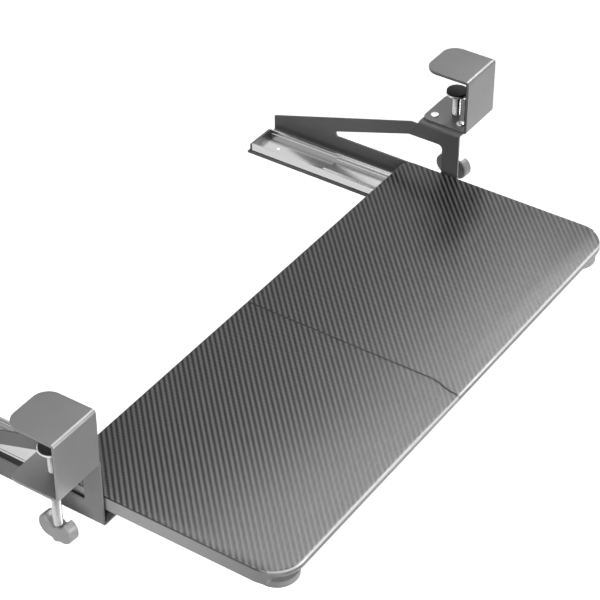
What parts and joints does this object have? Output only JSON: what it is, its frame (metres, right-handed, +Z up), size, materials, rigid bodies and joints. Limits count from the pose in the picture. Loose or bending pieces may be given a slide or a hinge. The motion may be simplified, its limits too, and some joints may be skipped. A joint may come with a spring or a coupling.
{
  "type": "clamp-on sliding keyboard tray",
  "caption": "Under-desk keyboard tray of joined boards on ball-bearing slides, hung from bent steel side brackets and screw clamps that grip the desk edge.",
  "frame": {"origin": "middle of the desk's front edge: on the clamp front plates' inner faces and at the level of the clamp top plates' undersides, halfway between the clamps", "axes": "+X along the desk edge to the right as seen by someone at the desk, +Y back under the desk, +Z up"},
  "size_m": [0.8354, 0.48, 0.1629],
  "materials": {
    "tray_laminate": "grey ribbed laminate over fibreboard, satin",
    "dowel_wood": "plain beech",
    "steel_grey_coat": "fine satin powder coat",
    "bracket_coat": "fine satin powder coat",
    "black_rubber": "matte sheet rubber",
    "grey_rubber": "matte moulded rubber",
    "bright_zinc": "bright zinc plate",
    "bright_screw": "bright rolled thread",
    "slide_steel": "zinc-plated cold-rolled steel",
    "cage_steel": "thin bright sheet",
    "ball_steel": "polished balls",
    "grey_plastic": "satin moulded plastic",
    "black_plastic": "matte moulded plastic"
  },
  "bodies": {
    "frame": {"left_clamp_frame": "steel_grey_coat", "left_jaw_liner": "black_rubber", "left_spindle_nut": "bright_zinc", "left_clamp_bolts": "bright_zinc", "left_clamp_nuts": "bright_zinc", "left_bracket": "bracket_coat", "left_rail_screws": "bright_zinc", "left_slide_outer_member": "slide_steel", "left_slide_buffer": "black_plastic", "right_clamp_frame": "steel_grey_coat", "right_jaw_liner": "black_rubber", "right_spindle_nut": "bright_zinc", "right_clamp_bolts": "bright_zinc", "right_clamp_nuts": "bright_zinc", "right_bracket": "bracket_coat", "right_rail_screws": "bright_zinc", "right_slide_outer_member": "slide_steel", "right_slide_buffer": "black_plastic"},
    "tray": {"left_board": "tray_laminate", "right_board": "tray_laminate", "board_dowels": "dowel_wood", "front_joining_plate": "bright_zinc", "rear_joining_plate": "bright_zinc", "front_joining_screws": "bright_zinc", "rear_joining_screws": "bright_zinc", "left_slide_inner_member": "slide_steel", "left_tray_screws": "bright_zinc", "left_corner_pad": "grey_rubber", "left_corner_pad_screw": "bright_zinc", "right_slide_inner_member": "slide_steel", "right_tray_screws": "bright_zinc", "right_corner_pad": "grey_rubber", "right_corner_pad_screw": "bright_zinc"},
    "left_slide_middle": {"left_slide_middle_member": "slide_steel"},
    "left_slide_outer_cage": {"left_slide_outer_cage": "cage_steel", "left_slide_outer_balls": "ball_steel"},
    "left_slide_inner_cage": {"left_slide_inner_cage": "cage_steel", "left_slide_inner_balls": "ball_steel"},
    "left_pressure_pad": {"left_swivel_plate": "bright_zinc", "left_pad_facing": "black_rubber"},
    "left_clamp_screw": {"left_spindle": "bright_screw", "left_knob": "grey_plastic"},
    "right_slide_middle": {"right_slide_middle_member": "slide_steel"},
    "right_slide_outer_cage": {"right_slide_outer_cage": "cage_steel", "right_slide_outer_balls": "ball_steel"},
    "right_slide_inner_cage": {"right_slide_inner_cage": "cage_steel", "right_slide_inner_balls": "ball_steel"},
    "right_pressure_pad": {"right_swivel_plate": "bright_zinc", "right_pad_facing": "black_rubber"},
    "right_clamp_screw": {"right_spindle": "bright_screw", "right_knob": "grey_plastic"}
  },
  "joints": [
    {"name": "tray_slide", "type": "slide", "parent": "frame", "child": "tray", "axis": [0, 1, 0], "range_m": [0, 0.205]},
    {"name": "left_slide_middle_run", "type": "slide", "parent": "frame", "child": "left_slide_middle", "axis": [0, 1, 0], "range_m": [0, 0.1025]},
    {"name": "left_slide_outer_cage_run", "type": "slide", "parent": "frame", "child": "left_slide_outer_cage", "axis": [0, 1, 0], "range_m": [0, 0.05125]},
    {"name": "left_slide_inner_cage_run", "type": "slide", "parent": "frame", "child": "left_slide_inner_cage", "axis": [0, 1, 0], "range_m": [0, 0.15375]},
    {"name": "left_pressure_pad_lift", "type": "slide", "parent": "frame", "child": "left_pressure_pad", "axis": [0, 0, 1], "range_m": [-0.022, 0.024]},
    {"name": "left_clamp_screw_turn", "type": "hinge", "parent": "left_pressure_pad", "child": "left_clamp_screw", "pos_m": [-0.3857, 0.0296, -0.1], "axis": [0, 0, 1], "range_deg": [-5281, 5761]},
    {"name": "right_slide_middle_run", "type": "slide", "parent": "frame", "child": "right_slide_middle", "axis": [0, 1, 0], "range_m": [0, 0.1025]},
    {"name": "right_slide_outer_cage_run", "type": "slide", "parent": "frame", "child": "right_slide_outer_cage", "axis": [0, 1, 0], "range_m": [0, 0.05125]},
    {"name": "right_slide_inner_cage_run", "type": "slide", "parent": "frame", "child": "right_slide_inner_cage", "axis": [0, 1, 0], "range_m": [0, 0.15375]},
    {"name": "right_pressure_pad_lift", "type": "slide", "parent": "frame", "child": "right_pressure_pad", "axis": [0, 0, 1], "range_m": [-0.022, 0.024]},
    {"name": "right_clamp_screw_turn", "type": "hinge", "parent": "right_pressure_pad", "child": "right_clamp_screw", "pos_m": [0.3857, 0.0296, -0.1], "axis": [0, 0, 1], "range_deg": [-5281, 5761]}
  ],
  "couplings": [
    {"joint": "left_slide_middle_run", "follows": "tray_slide", "ratio": 0.5},
    {"joint": "left_slide_outer_cage_run", "follows": "tray_slide", "ratio": 0.25},
    {"joint": "left_slide_inner_cage_run", "follows": "tray_slide", "ratio": 0.75},
    {"joint": "left_clamp_screw_turn", "follows": "left_pressure_pad_lift", "rad_per_m": 4188.8},
    {"joint": "right_slide_middle_run", "follows": "tray_slide", "ratio": 0.5},
    {"joint": "right_slide_outer_cage_run", "follows": "tray_slide", "ratio": 0.25},
    {"joint": "right_slide_inner_cage_run", "follows": "tray_slide", "ratio": 0.75},
    {"joint": "right_clamp_screw_turn", "follows": "right_pressure_pad_lift", "rad_per_m": 4188.8}
  ]
}
